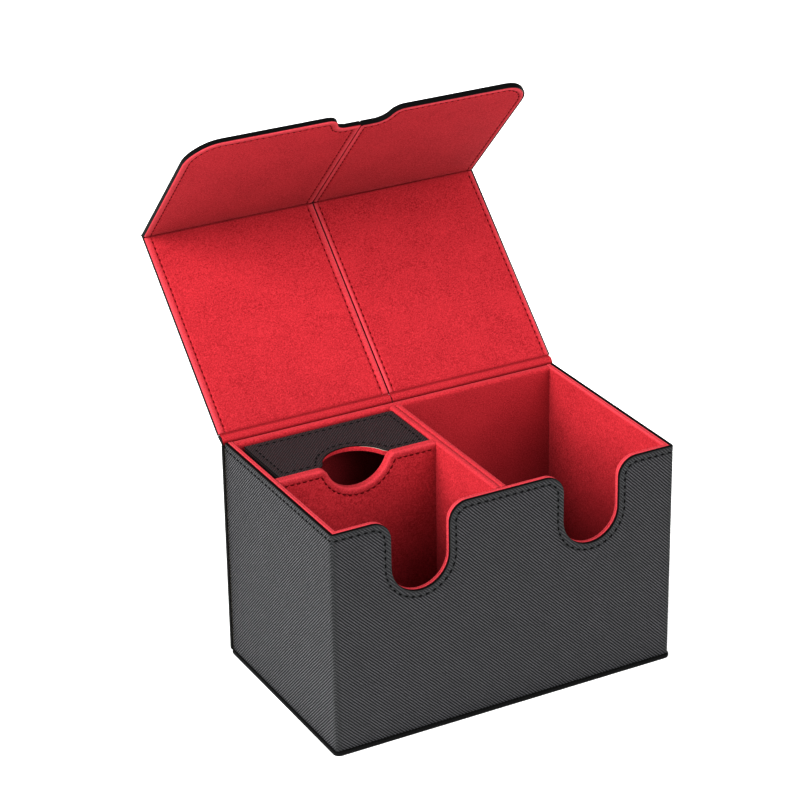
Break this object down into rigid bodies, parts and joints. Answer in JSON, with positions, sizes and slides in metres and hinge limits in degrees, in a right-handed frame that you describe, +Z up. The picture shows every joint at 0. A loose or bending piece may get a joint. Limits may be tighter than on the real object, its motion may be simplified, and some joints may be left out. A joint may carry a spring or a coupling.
{
  "type": "card storage box",
  "caption": "Card storage box with side-by-side folding flap lids, thumb cut-outs, a divider, a cross partition and a lift-out tray, ridged leather outside and suede inside.",
  "frame": {"origin": "middle of the base's underside, on the surface that the box stands on", "axes": "+X to the right as seen from the front with the thumb cut-outs, +Y to the back where the lids are hinged, +Z up"},
  "size_m": [0.1718, 0.183, 0.2409],
  "materials": {
    "outer_leather": "satin",
    "suede_lining": "matte",
    "greyboard": "matte",
    "magnet_steel": "satin"
  },
  "bodies": {
    "box": {"base_leather": "outer_leather", "base_board": "greyboard", "back_cover_board": "greyboard", "back_leather": "outer_leather", "bottom_board": "greyboard", "front_board": "greyboard", "front_magnets": "magnet_steel", "back_board": "greyboard", "left_side_board": "greyboard", "right_side_board": "greyboard", "front_leather": "outer_leather", "left_side_leather": "outer_leather", "right_side_leather": "outer_leather", "floor_lining": "suede_lining", "front_lining": "suede_lining", "back_lining": "suede_lining", "left_side_lining": "suede_lining", "right_side_lining": "suede_lining", "left_divider_board": "greyboard", "left_divider_lining": "suede_lining", "right_divider_board": "greyboard", "right_divider_lining": "suede_lining", "partition_board": "greyboard", "partition_lining": "suede_lining"},
    "left_lid": {"left_lid_board": "greyboard", "left_lid_leather": "outer_leather", "left_lid_lining": "suede_lining", "left_hinge_strip": "outer_leather"},
    "left_flap": {"left_flap_board": "greyboard", "left_flap_leather": "outer_leather", "left_flap_lining": "suede_lining", "left_flap_magnets": "magnet_steel"},
    "right_lid": {"right_lid_board": "greyboard", "right_lid_leather": "outer_leather", "right_lid_lining": "suede_lining", "right_hinge_strip": "outer_leather"},
    "right_flap": {"right_flap_board": "greyboard", "right_flap_leather": "outer_leather", "right_flap_lining": "suede_lining", "right_flap_magnets": "magnet_steel"},
    "tray": {"tray_leather": "outer_leather", "tray_lining": "suede_lining", "tray_top_board": "greyboard", "tray_bottom_board": "greyboard", "tray_left_board": "greyboard", "tray_right_board": "greyboard", "tray_back_board": "greyboard"}
  },
  "joints": [
    {"name": "left_lid_hinge", "type": "hinge", "parent": "box", "child": "left_lid", "pos_m": [-0.0432, 0.0516, 0.1073], "axis": [-1, 0, 0], "range_deg": [-136.5, 73.5]},
    {"name": "left_flap_fold", "type": "hinge", "parent": "left_lid", "child": "left_flap", "pos_m": [-0.0432, 0.12986, 0.17853], "axis": [-1, 0, 0], "range_deg": [0, 90]},
    {"name": "right_lid_hinge", "type": "hinge", "parent": "box", "child": "right_lid", "pos_m": [0.0432, 0.0516, 0.1073], "axis": [-1, 0, 0], "range_deg": [-136.5, 73.5]},
    {"name": "right_flap_fold", "type": "hinge", "parent": "right_lid", "child": "right_flap", "pos_m": [0.0432, 0.12986, 0.17853], "axis": [-1, 0, 0], "range_deg": [0, 90]},
    {"name": "tray_lift", "type": "slide", "parent": "box", "child": "tray", "axis": [0, 0, 1], "range_m": [0, 0.105]}
  ]
}
